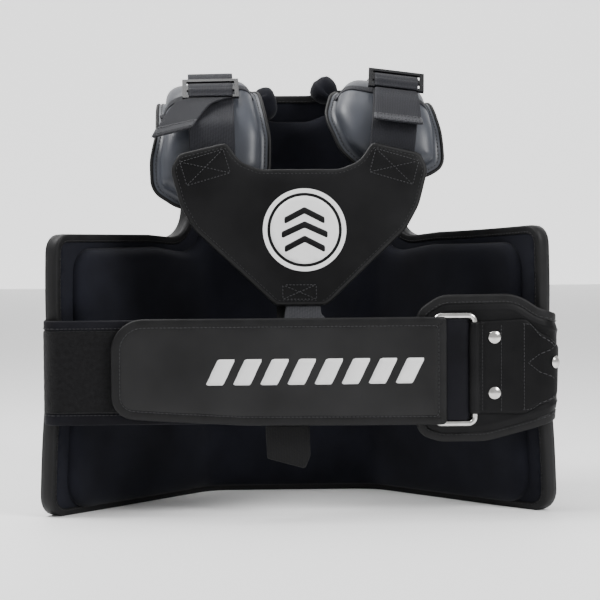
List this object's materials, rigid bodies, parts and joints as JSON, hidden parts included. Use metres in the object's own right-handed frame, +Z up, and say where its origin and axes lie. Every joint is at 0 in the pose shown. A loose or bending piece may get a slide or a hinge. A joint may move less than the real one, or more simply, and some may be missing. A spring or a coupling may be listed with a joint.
{
  "type": "chest protector",
  "caption": "Black trainer's body protector with a back yoke, moulded shoulder pads, webbing straps and a hook-and-loop waist belt.",
  "frame": {"origin": "centre of the footprint, on the surface that the lower edge stands on", "axes": "+X to the viewer's right when looking at the back, +Y towards the chest front, +Z up"},
  "size_m": [0.5369, 0.2659, 0.4702],
  "materials": {
    "pu_black": "satin",
    "pu_moulded": "semi-gloss",
    "pu_flap": "matte",
    "lining_cloth": "matte",
    "foam_dark": "matte",
    "binding_tape": "satin",
    "webbing": "matte",
    "loop_cloth": "matte",
    "hook_tape": "matte",
    "elastic": "satin",
    "white_print": "satin",
    "nickel": "polished",
    "dark_metal": "satin"
  },
  "bodies": {
    "root": {"inner_lining": "lining_cloth", "core_board": "foam_dark", "front_foam": "foam_dark", "front_cover": "pu_black", "lining_foam": "foam_dark", "lining_cover": "lining_cloth", "edge_binding_lower": "binding_tape", "edge_binding_upper": "binding_tape", "front_panel": "pu_black", "neck_roll_left": "lining_cloth", "neck_roll_right": "lining_cloth", "yoke_shell": "pu_black", "yoke_foam": "foam_dark", "yoke_lining": "lining_cloth", "yoke_binding": "binding_tape", "yoke_badge": "white_print", "belt_base": "lining_cloth", "belt_loop_panel": "loop_cloth", "belt_anchor_patch": "pu_black", "ring_patch_lining": "lining_cloth", "ring_patch_foam": "foam_dark", "ring_patch_face": "pu_black", "ring_patch_binding": "binding_tape", "ring_tab": "pu_black", "rivets": "nickel", "rivet_washers": "nickel", "lower_webbing": "webbing", "pad_base_left": "lining_cloth", "pad_foam_left": "foam_dark", "pad_cover_left": "pu_moulded", "pad_piping_left": "binding_tape", "keeper_band_left": "webbing", "shoulder_webbing_left": "webbing", "front_strap_end_left": "webbing", "pad_base_right": "lining_cloth", "pad_foam_right": "foam_dark", "pad_cover_right": "pu_moulded", "pad_piping_right": "binding_tape", "keeper_band_right": "webbing", "shoulder_webbing_right": "webbing", "front_strap_end_right": "webbing"},
    "ring": {"steel_ring": "nickel", "belt_turn": "elastic"},
    "flap": {"hook_pad": "hook_tape", "closure_flap_core": "foam_dark", "closure_flap_face": "pu_flap", "closure_flap_binding": "binding_tape", "flap_mark": "white_print"},
    "glide_left": {"tri_glide_left": "dark_metal"},
    "glide_right": {"tri_glide_right": "dark_metal"},
    "tail_left": {"webbing_tail_left": "webbing"},
    "tail_right": {"webbing_tail_right": "webbing"},
    "lower_tail": {"lower_webbing_tail": "webbing"}
  },
  "joints": [
    {"name": "ring_pivot", "type": "hinge", "parent": "root", "child": "ring", "pos_m": [0.177, -0.1274, 0.152], "axis": [0, 0, 1], "range_deg": [0, 25]},
    {"name": "flap_peel", "type": "hinge", "parent": "ring", "child": "flap", "pos_m": [0.136, -0.1274, 0.151], "axis": [0, 0, 1], "range_deg": [0, 100]},
    {"name": "glide_slide_left", "type": "slide", "parent": "root", "child": "glide_left", "axis": [-0.0117, 0.7431, 0.669], "range_m": [-0.035, 0]},
    {"name": "tail_lift_left", "type": "hinge", "parent": "glide_left", "child": "tail_left", "pos_m": [-0.09364, -0.0456, 0.43654], "axis": [-0.9998, 0, -0.0175], "range_deg": [0, 70]},
    {"name": "glide_slide_right", "type": "slide", "parent": "root", "child": "glide_right", "axis": [0.0815, 0.7431, 0.6641], "range_m": [-0.035, 0]},
    {"name": "tail_lift_right", "type": "hinge", "parent": "glide_right", "child": "tail_right", "pos_m": [0.10457, -0.03541, 0.44537], "axis": [-0.9925, 0, 0.1219], "range_deg": [0, 70]},
    {"name": "lower_tail_swing", "type": "hinge", "parent": "root", "child": "lower_tail", "pos_m": [-0.017, -0.1111, 0.094], "axis": [-1, 0, 0], "range_deg": [-30, 60]}
  ]
}
